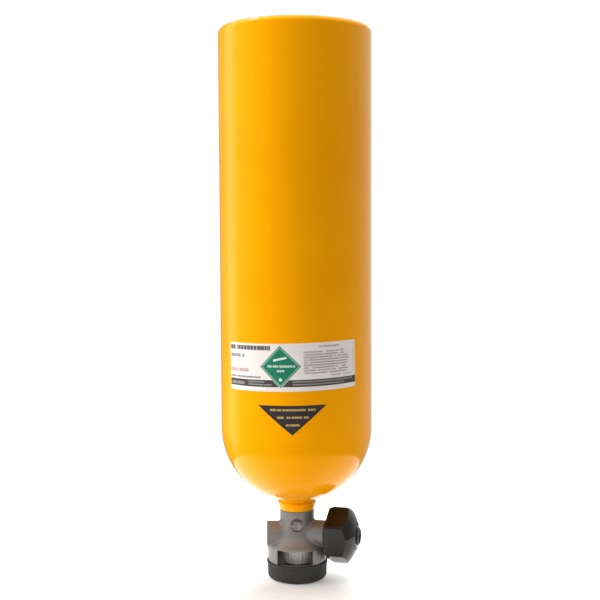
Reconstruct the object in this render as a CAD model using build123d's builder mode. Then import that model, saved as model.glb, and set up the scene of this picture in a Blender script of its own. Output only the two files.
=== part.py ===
from build123d import *
import math
import os

# Breathing-air cylinder with its valve, standing upside down on the gauge bumper.
#
# Frame: +Z up, origin at the middle of the bumper's foot, millimetres. The cylinder's axis is Z.
# The outlet faces -X and the burst plug faces -Y. The handwheel turns about the bonnet axis,
# which is horizontal and lies BONNET_ANGLE degrees from +X towards -Y.

# ---------------------------------------------------------------- driving dimensions
VESSEL_R = 84.0          # outside of the cylinder's straight wall
TOTAL_H = 611.0          # foot of the bumper to the cylinder's base
WALL = 9.4               # straight wall thickness
BASE_T = 13.0            # base thickness
BASE_EDGE_R = 6.5        # rounding round the base
BASE_INNER_R = 20.0      # rounding inside the base
DOME_Z = 172.0           # centre of the outer shoulder sphere
INNER_DOME_Z = 178.0     # centre of the inner shoulder sphere, so the shoulder thickens
NECK_R = 21.2            # round neck collar
NECK_GROOVE_R = 19.4     # groove at the collar's root
NECK_FACE_Z = 78.0       # where the valve's collar meets the neck
THREAD_R = 11.1          # neck thread, 7/8 inch nominal
NECK_RING = 1.2          # section radius of the neck O-ring
NECK_CHAMFER = 1.6
NECK_GROOVE_H = (3.0, 1.8)   # collar's upper edge and groove's lower edge, below its root

LABEL_T = 0.2            # printed label film
INFO_Z = (224.5, 275.5)      # information label, bottom and top edges
INFO_ANGLE = (-55.8, 48.6)   # its left and right ends, degrees from -Y towards +X
CAUTION_Z = (177.0, 208.0)   # tip and top edge of the triangular label
CAUTION_ANGLE = (-28.4, 22.1)

VALVE_Z = 48.0           # height of the outlet's axis
BONNET_Z = 50.5          # height of the bonnet's axis
COLLAR_R = 19.3          # valve collar under the neck
FLARE_Z = 60.0           # where the collar starts to flare
FLARE_R = 24.5           # radius of the concave flare
DRUM_R = 33.0            # gauge drum
DRUM_TOP_Z = 38.0        # where the flare reaches the drum
BOSS_R = 14.9            # outlet and bonnet bosses
OUTLET_FACE = 34.0       # outlet boss face, from the valve's axis
BONNET_FACE = 34.0       # bonnet boss face, clear of the drum
OUTLET_R = 9.45          # G1/2 female outlet, at its minor radius
OUTLET_L = 14.0
BONNET_ANGLE = 16.0
INLET_R = 2.5
ORIFICE_R = 2.0
ORIFICE_L = 18.0         # from the seat to the outlet's bore
TUBE_R = 4.0             # debris tube
TUBE_L = 45.0
TUBE_SEAT_Z = 98.0

RUN = 0.05               # radial running clearance
SEAT_S = -4.0            # stations along the bonnet axis, from the valve's axis
CHAMBER_S = 14.0         # open end of the bore the lower spindle screws along
CHAMBER_R = 6.55
BONNET_R = 10.0          # bonnet nut thread
BONNET_AF = 24.0
BONNET_S = (18.0, 38.0)  # bonnet nut, inner end and outer face
STEM_R = 4.0
STEM_RING = 0.9          # section radius of the two bonnet seals
TANG_T = 3.0
SQUARE = 5.6             # square drive on the stem
STUD_R = 2.5             # threaded end of the stem
SQUARE_S = 44.0          # where the square starts
STUD_L = 8.0

WHEEL_R = 32.2           # handwheel, axis to sharp corner
WHEEL_CORNER = 2.5       # rounding of its corners
WHEEL_S = 37.6           # back of its rim
WHEEL_BEVEL = (5.5, 20)  # length and slope of the bevel round the back
DOME_S = 71.4            # apex of its domed face
DOME_R = 47.1
HUB_R = 10.5
INSERT_R = 8.0
INSERT_S = (40.0, 58.0)
CAP_R = 9.7
CAP_S = (68.9, 72.4)

BURST_Z = 63.0           # height of the burst plug
BURST_FACE = 17.4        # its spot face, from the valve's axis
BURST_SEAT = 7.2         # bottom of its bore
BURST_R = 4.0
BURST_PORT_R = 1.5
BURST_HEX_R = 5.8

WELL_R = 27.0            # gauge well in the drum
WELL_TOP_Z = 36.5
SKIRT_R = 30.0           # drum skirt inside the bumper
SKIRT_Z = 4.5            # bottom of the skirt
BUMPER_TOP_Z = 20.0
BUMPER_LIP_R = 34.4
BUMPER_HOLE_R = 23.0
WINDOW_X = (-21.7, 17.3)     # gauge window in the drum's front wall
GAUGE_R = 4.5            # gauge stem thread
GAUGE_TOP_Z = 40.2
GAUGE_PORT_R = 0.8
GAUGE_RING = 0.8
CASE_R = 17.2
CASE_T = 1.3             # roof of the gauge case
LENS_TOP_R = 16.6
LENS_FACE_R = 14.5
LENS_Z = 17.0            # face of the lens
FLANGE_Z = (32.0, 33.0)  # its flange
LENS_T = 1.5
DIAL_Z = 20.6
DIAL_R = (11.4, 13.0)    # scale cup, at the dial and at its rim
POINTER_Z = 19.3

os.makedirs("parts", exist_ok=True)


# ---------------------------------------------------------------- planes and shared shapes
def level(z):
    """Horizontal plane at a height."""
    return Plane.XY.offset(z)


def bonnet_plane(s):
    """Plane across the bonnet axis at station s; its normal points outwards, local Y is up."""
    angle = math.radians(BONNET_ANGLE)
    out = Vector(math.cos(angle), -math.sin(angle), 0)
    side = Vector(math.sin(angle), math.cos(angle), 0)
    return Plane(origin=Vector(0, 0, BONNET_Z) + out * s, x_dir=side, z_dir=out)


def burst_plane(distance):
    """Plane across the burst plug's axis, looking out along -Y."""
    return Plane(origin=(0, -distance, BURST_Z), x_dir=(1, 0, 0), z_dir=(0, -1, 0))


def ring(plane, outer, inner, length, mode=Mode.ADD):
    """Extrude a disc, or a ring where inner isn't 0, from a plane along its normal."""
    with BuildSketch(plane) as outline:
        Circle(outer)
        if inner:
            Circle(inner, mode=Mode.SUBTRACT)
    extrude(outline.sketch, amount=length, mode=mode)


def bore(plane, radius, length):
    """Cut a round hole from a plane along its normal."""
    ring(plane, radius, 0, length, Mode.SUBTRACT)


def hexagon(plane, corner_r, length, rotation=0):
    """Extrude a hexagon from a plane along its normal."""
    with BuildSketch(plane) as outline:
        RegularPolygon(corner_r, 6, rotation=rotation)
    extrude(outline.sketch, amount=length)


def save(builder, name):
    """Label the finished piece and write it as one STEP file."""
    builder.part.label = name
    export_step(builder.part, f"parts/{name}.step")


def sphere_point(centre_z, radius, degrees):
    """Point on a shoulder sphere, degrees round from its lowest point, as (r, z)."""
    angle = math.radians(degrees)
    return radius * math.sin(angle), centre_z - radius * math.cos(angle)


def sphere_z(centre_z, radius, r):
    """Height of a shoulder sphere at a radius."""
    return centre_z - math.sqrt(radius ** 2 - r ** 2)


# ---------------------------------------------------------------- cylinder
INNER_R = VESSEL_R - WALL
NECK_TOP_Z = sphere_z(DOME_Z, VESSEL_R, NECK_R)
GROOVE_TOP_Z = sphere_z(DOME_Z, VESSEL_R, NECK_GROOVE_R)
THREAD_TOP_Z = sphere_z(INNER_DOME_Z, INNER_R, THREAD_R)
BASE_INNER_Z = TOTAL_H - BASE_T
ARC_MIDDLE = 50              # degrees up a shoulder sphere, a point each arc passes through

with BuildPart() as cylinder_shell:
    with BuildSketch(Plane.XZ):
        with BuildLine():
            Polyline((THREAD_R, NECK_FACE_Z), (NECK_R - NECK_CHAMFER, NECK_FACE_Z),
                     (NECK_R, NECK_FACE_Z + NECK_CHAMFER), (NECK_R, NECK_TOP_Z - NECK_GROOVE_H[0]),
                     (NECK_GROOVE_R, NECK_TOP_Z - NECK_GROOVE_H[1]), (NECK_GROOVE_R, GROOVE_TOP_Z))
            ThreePointArc((NECK_GROOVE_R, GROOVE_TOP_Z), sphere_point(DOME_Z, VESSEL_R, ARC_MIDDLE),
                          (VESSEL_R, DOME_Z))
            Line((VESSEL_R, DOME_Z), (VESSEL_R, TOTAL_H - BASE_EDGE_R))
            CenterArc((VESSEL_R - BASE_EDGE_R, TOTAL_H - BASE_EDGE_R), BASE_EDGE_R, 0, 90)
            Polyline((VESSEL_R - BASE_EDGE_R, TOTAL_H), (0, TOTAL_H), (0, BASE_INNER_Z),
                     (INNER_R - BASE_INNER_R, BASE_INNER_Z))
            CenterArc((INNER_R - BASE_INNER_R, BASE_INNER_Z - BASE_INNER_R),
                      BASE_INNER_R, 90, -90)
            Line((INNER_R, BASE_INNER_Z - BASE_INNER_R), (INNER_R, INNER_DOME_Z))
            ThreePointArc((INNER_R, INNER_DOME_Z), sphere_point(INNER_DOME_Z, INNER_R, ARC_MIDDLE),
                          (THREAD_R, THREAD_TOP_Z))
            Line((THREAD_R, THREAD_TOP_Z), (THREAD_R, NECK_FACE_Z))
        make_face()
    revolve(axis=Axis.Z)
    bore(level(NECK_FACE_Z), THREAD_R + 2 * NECK_RING + RUN, 2 * NECK_RING)
save(cylinder_shell, "cylinder_shell")

with BuildPart() as neck_o_ring:
    with Locations((0, 0, NECK_FACE_Z + NECK_RING)):
        Torus(THREAD_R + NECK_RING + RUN / 2, NECK_RING)
save(neck_o_ring, "neck_o_ring")


def label_film(heights, angles):
    """A strip of film on the straight wall between two heights and two angles."""
    with BuildSketch(Plane.XZ.rotated((0, 0, angles[0] - 90))) as section:
        with Locations((VESSEL_R + LABEL_T / 2, sum(heights) / 2)):
            Rectangle(LABEL_T, heights[1] - heights[0])
    revolve(section.sketch, axis=Axis.Z, revolution_arc=angles[1] - angles[0])


with BuildPart() as information_label:
    label_film(INFO_Z, INFO_ANGLE)
save(information_label, "information_label")

CAUTION_MIDDLE = sum(CAUTION_ANGLE) / 2
CAUTION_HALF = VESSEL_R * math.sin(math.radians((CAUTION_ANGLE[1] - CAUTION_ANGLE[0]) / 2))

with BuildPart() as caution_label:
    label_film(CAUTION_Z, CAUTION_ANGLE)
    with BuildSketch(Plane.XZ.rotated((0, 0, CAUTION_MIDDLE))):
        with BuildLine():
            Polyline((-CAUTION_HALF, CAUTION_Z[1]), (CAUTION_HALF, CAUTION_Z[1]),
                     (0, CAUTION_Z[0]), close=True)
        make_face()
    extrude(amount=2 * VESSEL_R, mode=Mode.INTERSECT)
save(caution_label, "caution_label")

# ---------------------------------------------------------------- valve body
BODY_TOP_GAP = 1.0           # valve's inner end below the neck's inner edge
BODY_TOP_Z = THREAD_TOP_Z - BODY_TOP_GAP
BODY_CHAMFER = 1.2
COLLAR_CHAMFER = 0.6
BONNET_GLAND_R = BONNET_R + 2 * STEM_RING + RUN
GAUGE_GLAND_R = GAUGE_R + 2 * GAUGE_RING + 2 * RUN
SPOT_R = 7.3
OUTLET_PLANE = Plane(origin=(-OUTLET_FACE, 0, VALVE_Z), x_dir=(0, 1, 0), z_dir=(1, 0, 0))

with BuildPart() as valve_body:
    with BuildSketch(Plane.XZ):
        with BuildLine():
            Polyline((DRUM_R, DRUM_TOP_Z), (DRUM_R, BUMPER_TOP_Z), (SKIRT_R, BUMPER_TOP_Z),
                     (SKIRT_R, SKIRT_Z), (0, SKIRT_Z), (0, BODY_TOP_Z),
                     (THREAD_R - BODY_CHAMFER, BODY_TOP_Z), (THREAD_R, BODY_TOP_Z - BODY_CHAMFER),
                     (THREAD_R, NECK_FACE_Z), (COLLAR_R - COLLAR_CHAMFER, NECK_FACE_Z),
                     (COLLAR_R, NECK_FACE_Z - COLLAR_CHAMFER), (COLLAR_R, FLARE_Z))
            RadiusArc((COLLAR_R, FLARE_Z), (DRUM_R, DRUM_TOP_Z), -FLARE_R)
        make_face()
    revolve(axis=Axis.Z)
    ring(OUTLET_PLANE, BOSS_R, 0, OUTLET_FACE)
    ring(bonnet_plane(0), BOSS_R, 0, BONNET_FACE)
    # gauge well, its window and the gauge's port
    bore(level(SKIRT_Z), WELL_R, WELL_TOP_Z - SKIRT_Z)
    with BuildSketch(level(BUMPER_TOP_Z)):
        with Locations((sum(WINDOW_X) / 2, -DRUM_R)):
            Rectangle(WINDOW_X[1] - WINDOW_X[0], DRUM_R)
    extrude(amount=WELL_TOP_Z - BUMPER_TOP_Z, mode=Mode.SUBTRACT)
    bore(level(WELL_TOP_Z), GAUGE_R, GAUGE_TOP_Z - WELL_TOP_Z)
    bore(level(WELL_TOP_Z), GAUGE_GLAND_R, 2 * GAUGE_RING)
    bore(level(GAUGE_TOP_Z), GAUGE_PORT_R, BONNET_Z - GAUGE_TOP_Z)
    # outlet, seat orifice, spindle chamber, bonnet thread and its seal's gland
    bore(OUTLET_PLANE, OUTLET_R, OUTLET_L)
    bore(bonnet_plane(SEAT_S - ORIFICE_L), ORIFICE_R, ORIFICE_L)
    bore(bonnet_plane(SEAT_S), CHAMBER_R, CHAMBER_S - SEAT_S)
    bore(bonnet_plane(CHAMBER_S), BONNET_R, BONNET_FACE - CHAMBER_S)
    bore(bonnet_plane(BONNET_FACE - 2 * STEM_RING), BONNET_GLAND_R, 2 * STEM_RING)
    # inlet and the debris tube's seat
    bore(level(BONNET_Z), INLET_R, BODY_TOP_Z - BONNET_Z)
    bore(level(TUBE_SEAT_Z), TUBE_R, BODY_TOP_Z - TUBE_SEAT_Z)
    # burst plug's port, bore and spot face
    bore(burst_plane(0), BURST_PORT_R, BURST_SEAT)
    bore(burst_plane(BURST_SEAT), BURST_R, BURST_FACE - BURST_SEAT)
    bore(burst_plane(BURST_FACE), SPOT_R, BURST_FACE)
save(valve_body, "valve_body")

with BuildPart() as debris_tube:
    ring(level(TUBE_SEAT_Z), TUBE_R, INLET_R, TUBE_L)
save(debris_tube, "debris_tube")

# ---------------------------------------------------------------- burst plug
GASKET_T = 0.8
DISC_T = 0.4
BURST_FLANGE = (6.4, 0.8)    # radius and thickness
BURST_HEAD_T = 2.6
BURST_HEAD_CHAMFER = 0.4
VENT_R = 0.6
PLUG_S = BURST_SEAT + GASKET_T + DISC_T
HEAD_S = BURST_FACE + BURST_FLANGE[1]

with BuildPart() as burst_gasket:
    ring(burst_plane(BURST_SEAT), BURST_R, BURST_PORT_R, GASKET_T)
save(burst_gasket, "burst_gasket")

with BuildPart() as burst_disc:
    ring(burst_plane(BURST_SEAT + GASKET_T), BURST_R, 0, DISC_T)
save(burst_disc, "burst_disc")

with BuildPart() as burst_plug:
    ring(burst_plane(PLUG_S), BURST_R, 0, BURST_FACE - PLUG_S)
    ring(burst_plane(BURST_FACE), BURST_FLANGE[0], 0, BURST_FLANGE[1])
    hexagon(burst_plane(HEAD_S), BURST_HEX_R, BURST_HEAD_T)
    chamfer(burst_plug.faces().sort_by(Axis.Y)[0].edges(), BURST_HEAD_CHAMFER)
    bore(burst_plane(PLUG_S), BURST_PORT_R, HEAD_S + BURST_HEAD_T / 2 + VENT_R - PLUG_S)
    vent_y = -HEAD_S - BURST_HEAD_T / 2
    bore(Plane(origin=(-BURST_HEX_R, vent_y, BURST_Z), x_dir=(0, 1, 0), z_dir=(1, 0, 0)),
         VENT_R, 2 * BURST_HEX_R)
save(burst_plug, "burst_plug")

# ---------------------------------------------------------------- stem, spindle and bonnet
COLLAR_S = (14.6, 17.15)     # the stem's thrust collar
STEM_COLLAR_R = 7.5
WASHER_S = (17.2, 18.0)
TANG_S = 7.0
TANG_W = 7.0
NOSE_R = 4.5
SEAT_R = 3.4
SEAT_INSERT_S = (-3.95, -1.5)
NOSE_S = -3.6
SPINDLE_S = (2.5, 10.5)
SLOT_S = 3.5
GROOVE_S = (22.0, 24.0)
NUT_CHAMFER = 0.8
WASHER_GAP = 0.5             # thrust washer, in from the bonnet's thread
BONNET_AXIS = Axis(bonnet_plane(0).origin, bonnet_plane(0).z_dir)

with BuildPart() as seat_insert:
    ring(bonnet_plane(SEAT_INSERT_S[0]), SEAT_R, 0, SEAT_INSERT_S[1] - SEAT_INSERT_S[0])
save(seat_insert, "seat_insert")

with BuildPart() as lower_spindle:
    ring(bonnet_plane(NOSE_S), NOSE_R, SEAT_R, SEAT_INSERT_S[1] - NOSE_S)
    ring(bonnet_plane(SEAT_INSERT_S[1]), NOSE_R, 0, SPINDLE_S[0] - SEAT_INSERT_S[1])
    ring(bonnet_plane(SPINDLE_S[0]), CHAMBER_R - RUN, 0, SPINDLE_S[1] - SPINDLE_S[0])
    with BuildSketch(bonnet_plane(SLOT_S)):
        Rectangle(TANG_T + 2 * RUN, 2 * CHAMBER_R)
    extrude(amount=SPINDLE_S[1] - SLOT_S, mode=Mode.SUBTRACT)
save(lower_spindle, "lower_spindle")

with BuildPart() as upper_stem:
    with BuildSketch(bonnet_plane(TANG_S)):
        Rectangle(TANG_T, TANG_W)
    extrude(amount=COLLAR_S[0] - TANG_S)
    ring(bonnet_plane(COLLAR_S[0]), STEM_COLLAR_R, 0, COLLAR_S[1] - COLLAR_S[0])
    ring(bonnet_plane(COLLAR_S[1]), STEM_R, 0, SQUARE_S - COLLAR_S[1])
    with BuildSketch(bonnet_plane(SQUARE_S)):
        Rectangle(SQUARE, SQUARE)
    extrude(amount=INSERT_S[1] - SQUARE_S)
    ring(bonnet_plane(INSERT_S[1]), STUD_R, 0, STUD_L)
save(upper_stem, "upper_stem")

with BuildPart() as stem_thrust_washer:
    ring(bonnet_plane(WASHER_S[0]), BONNET_R - WASHER_GAP, STEM_R + RUN, WASHER_S[1] - WASHER_S[0])
save(stem_thrust_washer, "stem_thrust_washer")

with BuildPart() as bonnet_nut:
    ring(bonnet_plane(BONNET_S[0]), BONNET_R, 0, BONNET_FACE - BONNET_S[0])
    hexagon(bonnet_plane(BONNET_FACE), BONNET_AF / math.sqrt(3), BONNET_S[1] - BONNET_FACE)
    chamfer(bonnet_nut.faces().sort_by(BONNET_AXIS)[-1].edges(), NUT_CHAMFER)
    bore(bonnet_plane(BONNET_S[0]), STEM_R + RUN, BONNET_S[1] - BONNET_S[0])
    bore(bonnet_plane(GROOVE_S[0]), STEM_R + RUN + 2 * STEM_RING + RUN, GROOVE_S[1] - GROOVE_S[0])
save(bonnet_nut, "bonnet_nut")

with BuildPart() as stem_o_ring:
    with Locations(bonnet_plane(sum(GROOVE_S) / 2)):
        Torus(STEM_R + 2 * RUN + STEM_RING, STEM_RING)
save(stem_o_ring, "stem_o_ring")

with BuildPart() as bonnet_o_ring:
    with Locations(bonnet_plane(BONNET_FACE - STEM_RING)):
        Torus(BONNET_R + STEM_RING + RUN / 2, STEM_RING)
save(bonnet_o_ring, "bonnet_o_ring")

# ---------------------------------------------------------------- handwheel
RECESS_R = 19.5
RECESS_S = 52.0
HUB_BACK_S = 39.5
CAVITY_R = 8.8
BEVEL_S = WHEEL_S + WHEEL_BEVEL[0]

with BuildPart() as handwheel:
    with BuildSketch(bonnet_plane(BEVEL_S)) as rim:
        RegularPolygon(WHEEL_R, 6, rotation=90)
        fillet(rim.vertices(), WHEEL_CORNER)
    extrude(amount=DOME_S - BEVEL_S)
    extrude(rim.sketch, amount=-WHEEL_BEVEL[0], taper=WHEEL_BEVEL[1])
    with Locations(bonnet_plane(DOME_S - DOME_R)):
        Sphere(DOME_R, mode=Mode.INTERSECT)
    ring(bonnet_plane(WHEEL_S), RECESS_R, HUB_R, RECESS_S - WHEEL_S, Mode.SUBTRACT)
    bore(bonnet_plane(WHEEL_S), HUB_R, HUB_BACK_S - WHEEL_S)
    bore(bonnet_plane(HUB_BACK_S), INSERT_R, INSERT_S[1] - HUB_BACK_S)
    bore(bonnet_plane(INSERT_S[1]), CAVITY_R, CAP_S[0] - INSERT_S[1])
    bore(bonnet_plane(CAP_S[0]), CAP_R + RUN, CAP_S[1] - CAP_S[0])
save(handwheel, "handwheel")

with BuildPart() as handwheel_insert:
    ring(bonnet_plane(INSERT_S[0]), INSERT_R, STEM_R + RUN, SQUARE_S - INSERT_S[0])
    ring(bonnet_plane(SQUARE_S), INSERT_R, 0, INSERT_S[1] - SQUARE_S)
    with BuildSketch(bonnet_plane(SQUARE_S)):
        Rectangle(SQUARE, SQUARE)
    extrude(amount=INSERT_S[1] - SQUARE_S, mode=Mode.SUBTRACT)
save(handwheel_insert, "handwheel_insert")

NUT_AF = 8.0
WASHER_T = 1.0
NUT_T = 4.0
WASHER_RIM_GAP = 0.4         # washer, in from the cavity's wall
with BuildPart() as handwheel_washer:
    ring(bonnet_plane(INSERT_S[1]), CAVITY_R - WASHER_RIM_GAP, STUD_R + RUN, WASHER_T)
save(handwheel_washer, "handwheel_washer")

with BuildPart() as handwheel_nut:
    hexagon(bonnet_plane(INSERT_S[1] + WASHER_T), NUT_AF / math.sqrt(3), NUT_T)
    bore(bonnet_plane(INSERT_S[1] + WASHER_T), STUD_R, NUT_T)
save(handwheel_nut, "handwheel_nut")

CAP_FILLET = 1.2
CAP_SKIRT = (3.5, 1.5)       # depth and wall of the cap's skirt
with BuildPart() as hub_cap:
    ring(bonnet_plane(CAP_S[0]), CAP_R, 0, CAP_S[1] - CAP_S[0])
    fillet(hub_cap.faces().sort_by(BONNET_AXIS)[-1].edges(), CAP_FILLET)
    ring(bonnet_plane(CAP_S[0] - CAP_SKIRT[0]), CAVITY_R, CAVITY_R - CAP_SKIRT[1], CAP_SKIRT[0])
save(hub_cap, "hub_cap")

# ---------------------------------------------------------------- gauge
CASE_ROOF_Z = WELL_TOP_Z - CASE_T
CASE_WALL = 1.0
LENS_GASKET_T = 0.5
GASKET_TOP_Z = FLANGE_Z[1] + LENS_GASKET_T
STEM_FLANGE_R = 6.5
STEM_FLANGE_T = 1.5
STEM_FLANGE_Z = CASE_ROOF_Z - STEM_FLANGE_T
PORT_FLOOR = 1.0             # metal left under the gauge stem's port
DIAL_T = 0.6
DIAL_HOLE_R = 0.88
ARBOR_R = 0.8
COIL_R = 7.5
COIL_TUBE_R = 0.8
COIL_PITCH = 2.3
COIL_TURNS = 3
RING_Z = (31.2, 35.0)
RING_R = 18.6
RING_GAP = 0.2
LENS_EDGE_R = 1.0

with BuildPart() as gauge_stem:
    ring(level(CASE_ROOF_Z), GAUGE_R, 0, GAUGE_TOP_Z - CASE_ROOF_Z)
    ring(level(STEM_FLANGE_Z), STEM_FLANGE_R, 0, CASE_ROOF_Z - STEM_FLANGE_Z)
    bore(level(STEM_FLANGE_Z + PORT_FLOOR), GAUGE_PORT_R, GAUGE_TOP_Z - STEM_FLANGE_Z)
save(gauge_stem, "gauge_stem")

with BuildPart() as gauge_stem_o_ring:
    with Locations((0, 0, WELL_TOP_Z + GAUGE_RING)):
        Torus(GAUGE_R + GAUGE_RING + RUN, GAUGE_RING)
save(gauge_stem_o_ring, "gauge_stem_o_ring")

with BuildPart() as gauge_case:
    ring(level(CASE_ROOF_Z), CASE_R, GAUGE_R, CASE_T)
    ring(level(GASKET_TOP_Z), CASE_R, CASE_R - CASE_WALL, CASE_ROOF_Z - GASKET_TOP_Z)
save(gauge_case, "gauge_case")

with BuildPart() as lens_gasket:
    ring(level(FLANGE_Z[1]), CASE_R, CASE_R - CASE_WALL, GASKET_TOP_Z - FLANGE_Z[1])
save(lens_gasket, "lens_gasket")

with BuildPart() as bourdon_coil:
    with BuildLine() as coil_path:
        Helix(COIL_PITCH, COIL_PITCH * COIL_TURNS, COIL_R,
              center=(0, 0, STEM_FLANGE_Z - COIL_TUBE_R - COIL_PITCH * COIL_TURNS))
    with BuildSketch(Plane(origin=coil_path.line @ 0, z_dir=coil_path.line % 0)):
        Circle(COIL_TUBE_R)
    sweep(path=coil_path.line, is_frenet=True)
save(bourdon_coil, "bourdon_coil")

with BuildPart() as gauge_dial:
    with BuildSketch(Plane.XZ):
        with BuildLine():
            Polyline((DIAL_HOLE_R, DIAL_Z), (DIAL_R[0], DIAL_Z), (DIAL_R[1], FLANGE_Z[1]),
                     (CASE_R - CASE_WALL, FLANGE_Z[1]), (CASE_R - CASE_WALL, GASKET_TOP_Z),
                     (DIAL_R[1] - DIAL_T, GASKET_TOP_Z), (DIAL_R[0] - DIAL_T, DIAL_Z + DIAL_T),
                     (DIAL_HOLE_R, DIAL_Z + DIAL_T), close=True)
        make_face()
    revolve(axis=Axis.Z)
save(gauge_dial, "gauge_dial")

POINTER_T = 0.6
POINTER_TIP = (12.3, 12.8)   # the upturned tip, inner and outer distance from the axis
POINTER_TAIL = 4.0
TIP_H = 5.0
HUB_DISC_R = 1.9
POINTER_HALF_W = (1.0, 0.5)  # at the tail and at the tip
ARBOR_L = 7.0
with BuildPart() as gauge_pointer:
    with BuildSketch(level(POINTER_Z)):
        Circle(HUB_DISC_R)
        with BuildLine():
            Polyline((-POINTER_HALF_W[0], POINTER_TAIL), (POINTER_HALF_W[0], POINTER_TAIL),
                     (POINTER_HALF_W[1], -POINTER_TIP[1]), (-POINTER_HALF_W[1], -POINTER_TIP[1]),
                     close=True)
        make_face()
    extrude(amount=POINTER_T)
    with BuildSketch(level(POINTER_Z)):
        with Locations((0, -sum(POINTER_TIP) / 2)):
            Rectangle(2 * POINTER_HALF_W[1], POINTER_TIP[1] - POINTER_TIP[0])
    extrude(amount=TIP_H)
    ring(level(POINTER_Z + POINTER_T), ARBOR_R, 0, ARBOR_L)
save(gauge_pointer, "gauge_pointer")

with BuildPart() as gauge_lens:
    with BuildSketch(Plane.XZ) as lens_section:
        with BuildLine():
            Polyline((0, LENS_Z), (LENS_FACE_R, LENS_Z), (LENS_TOP_R, FLANGE_Z[0]),
                     (CASE_R, FLANGE_Z[0]), (CASE_R, FLANGE_Z[1]),
                     (LENS_TOP_R - LENS_T, FLANGE_Z[1]),
                     (LENS_FACE_R - LENS_T, LENS_Z + LENS_T), (0, LENS_Z + LENS_T), close=True)
        make_face()
        fillet(lens_section.vertices()
               .filter_by_position(Axis.X, LENS_FACE_R - LENS_T, LENS_FACE_R)
               .filter_by_position(Axis.Y, LENS_Z, LENS_Z + LENS_T), LENS_EDGE_R)
    revolve(axis=Axis.Z)
save(gauge_lens, "gauge_lens")

with BuildPart() as lens_retaining_ring:
    ring(level(FLANGE_Z[0]), RING_R, CASE_R, RING_Z[1] - FLANGE_Z[0])
    ring(level(RING_Z[0]), RING_R, LENS_TOP_R + RING_GAP, FLANGE_Z[0] - RING_Z[0])
save(lens_retaining_ring, "lens_retaining_ring")

# ---------------------------------------------------------------- bumper
BUMPER_EDGE_R = 4.5
BUMPER_R = (33.3, 33.6)      # outside, above the rounded foot and under the lip
LIP_Z = (16.0, 17.5)
LIP_CHAMFER = 0.6
FOOT_CHAMFER = 0.5
with BuildPart() as gauge_bumper:
    with BuildSketch(Plane.XZ):
        with BuildLine():
            CenterArc((BUMPER_R[0] - BUMPER_EDGE_R, BUMPER_EDGE_R), BUMPER_EDGE_R, -90, 90)
            Polyline((BUMPER_R[0], BUMPER_EDGE_R), (BUMPER_R[1], LIP_Z[0]),
                     (BUMPER_LIP_R, LIP_Z[1]), (BUMPER_LIP_R, BUMPER_TOP_Z - LIP_CHAMFER),
                     (BUMPER_LIP_R - LIP_CHAMFER, BUMPER_TOP_Z), (SKIRT_R, BUMPER_TOP_Z),
                     (SKIRT_R, SKIRT_Z), (BUMPER_HOLE_R, SKIRT_Z), (BUMPER_HOLE_R, FOOT_CHAMFER),
                     (BUMPER_HOLE_R + FOOT_CHAMFER, 0), (BUMPER_R[0] - BUMPER_EDGE_R, 0))
        make_face()
    revolve(axis=Axis.Z)
save(gauge_bumper, "gauge_bumper")
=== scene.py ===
import math

import bmesh
import bpy
import numpy as np
from mathutils import Matrix, Vector


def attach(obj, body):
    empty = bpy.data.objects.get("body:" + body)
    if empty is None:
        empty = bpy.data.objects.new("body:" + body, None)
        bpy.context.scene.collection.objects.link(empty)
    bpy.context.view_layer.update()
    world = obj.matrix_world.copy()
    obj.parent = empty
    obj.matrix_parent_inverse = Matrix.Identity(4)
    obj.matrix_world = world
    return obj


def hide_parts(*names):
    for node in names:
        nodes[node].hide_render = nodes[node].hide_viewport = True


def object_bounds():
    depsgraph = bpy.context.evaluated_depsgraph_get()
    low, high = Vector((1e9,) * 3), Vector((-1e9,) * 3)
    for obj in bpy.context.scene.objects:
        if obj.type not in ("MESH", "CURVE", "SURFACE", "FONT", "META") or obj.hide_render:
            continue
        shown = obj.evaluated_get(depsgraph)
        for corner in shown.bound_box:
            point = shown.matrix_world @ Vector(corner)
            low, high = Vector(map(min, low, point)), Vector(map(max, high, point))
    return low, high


# Breathing-air cylinder standing on its valve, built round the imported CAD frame.
# +Z is up, the outlet faces -X, and the labels, the burst plug and the gauge window face -Y.

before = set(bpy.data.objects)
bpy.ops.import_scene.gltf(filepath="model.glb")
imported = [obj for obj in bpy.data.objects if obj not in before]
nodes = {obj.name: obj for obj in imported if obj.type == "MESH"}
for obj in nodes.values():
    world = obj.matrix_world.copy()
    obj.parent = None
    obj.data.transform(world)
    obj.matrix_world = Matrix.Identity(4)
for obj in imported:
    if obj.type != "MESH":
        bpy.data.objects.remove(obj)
cad_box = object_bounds()
MM = 0.001

# ---------------------------------------------------------------- sizes, in millimetres
VESSEL_R = 84.0
TOTAL_H = cad_box[1].z / MM
OUTLET_Z = 48.0
BONNET_Z = 50.5
BONNET_ANGLE = 16.0
BONNET_TURN = math.radians(BONNET_ANGLE)
BONNET_OUT = Vector((math.cos(BONNET_TURN), -math.sin(BONNET_TURN), 0))
BONNET_SIDE = Vector((math.sin(BONNET_TURN), math.cos(BONNET_TURN), 0))


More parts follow.
